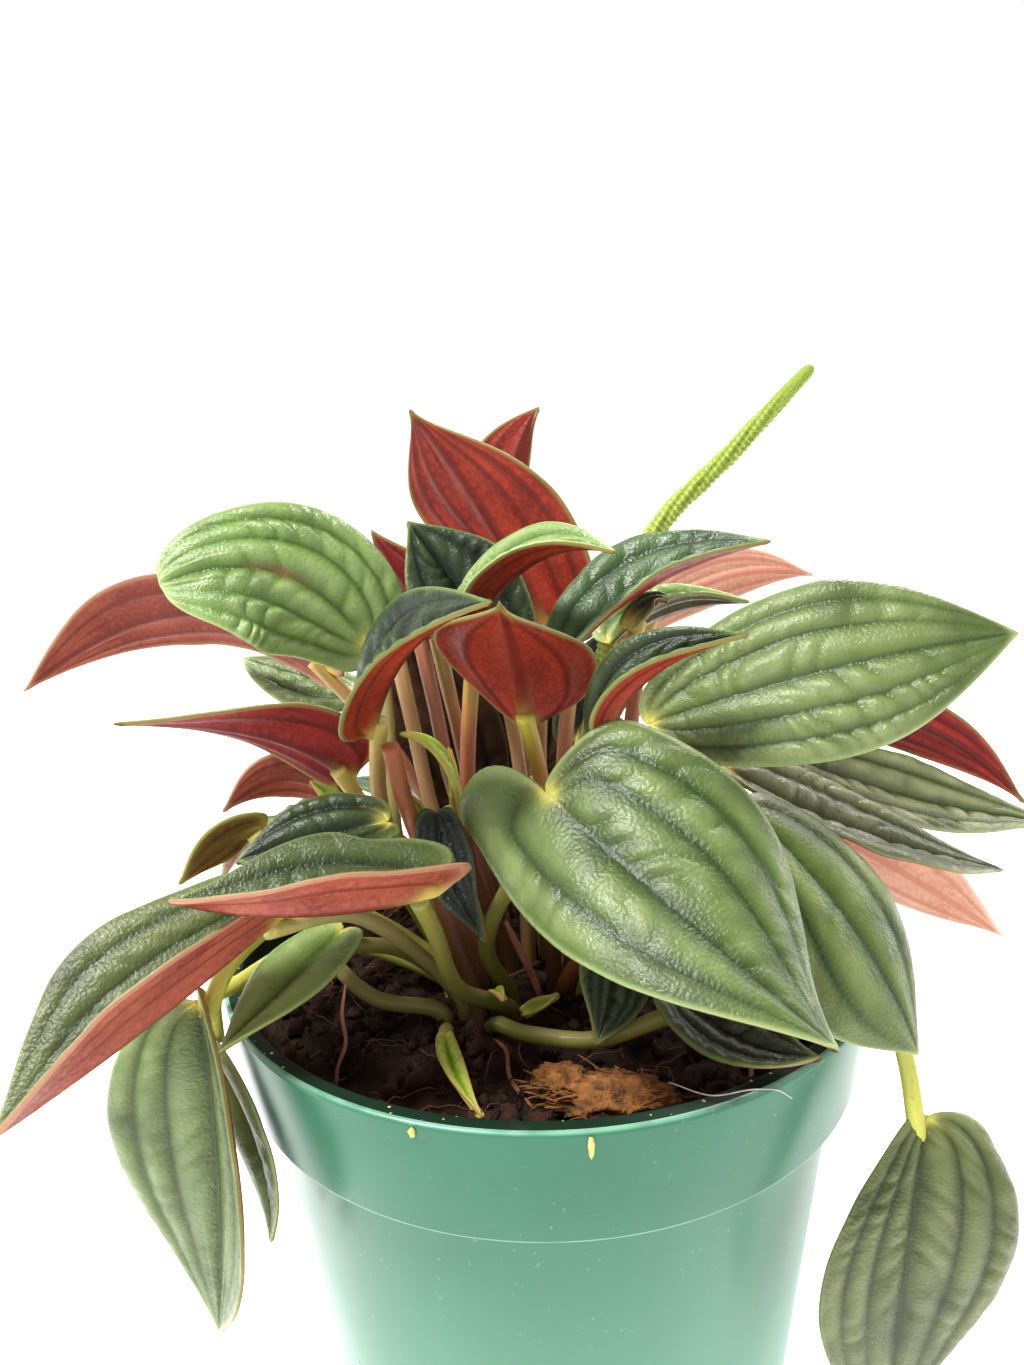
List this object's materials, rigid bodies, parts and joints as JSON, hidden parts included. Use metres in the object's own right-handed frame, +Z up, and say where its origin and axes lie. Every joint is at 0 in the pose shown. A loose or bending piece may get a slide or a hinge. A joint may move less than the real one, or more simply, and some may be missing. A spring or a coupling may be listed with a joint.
{
  "type": "potted ripple peperomia",
  "caption": "Red-backed ripple peperomia with ridged, folded leaves and a flower spike, growing in a round plastic nursery pot.",
  "frame": {"origin": "centre of the pot's flat base, on the surface it stands on", "axes": "+Z up, -Y towards the plant's front, where the largest leaf hangs over the rim, +X to the right"},
  "size_m": [0.1795, 0.126, 0.1837],
  "materials": {
    "pot_plastic": "satin",
    "soil": "rough",
    "leaf": "satin",
    "young_growth": "satin",
    "stalk": "satin"
  },
  "bodies": {
    "root": {"pot": "pot_plastic", "soil": "soil", "leaf_01": "leaf", "leaf_02": "leaf", "leaf_03": "leaf", "leaf_04": "leaf", "leaf_05": "leaf", "leaf_06": "leaf", "leaf_07": "leaf", "leaf_08": "leaf", "leaf_09": "leaf", "leaf_10": "leaf", "leaf_11": "leaf", "leaf_12": "leaf", "leaf_13": "leaf", "leaf_14": "leaf", "leaf_15": "leaf", "leaf_16": "leaf", "leaf_17": "leaf", "leaf_18": "leaf", "leaf_19": "leaf", "leaf_20": "leaf", "leaf_21": "leaf", "leaf_22": "leaf", "leaf_23": "leaf", "leaf_24": "leaf", "leaf_25": "leaf", "leaf_26": "leaf", "leaf_27": "leaf", "leaf_28": "leaf", "leaf_29": "leaf", "leaf_30": "leaf", "leaf_31": "leaf", "leaf_32": "leaf", "leaf_33": "leaf", "leaf_34": "leaf", "leaf_35": "leaf", "leaf_36": "leaf", "leaf_37": "leaf", "leaf_38": "leaf", "leaf_39": "leaf", "leaf_40": "leaf", "leaf_41": "leaf", "leaf_42": "leaf", "leaf_43": "leaf", "young_leaf": "young_growth", "leaf_bud": "young_growth", "front_shoot": "young_growth", "cut_stalk": "stalk", "flower_spike": "young_growth"}
  },
  "joints": []
}
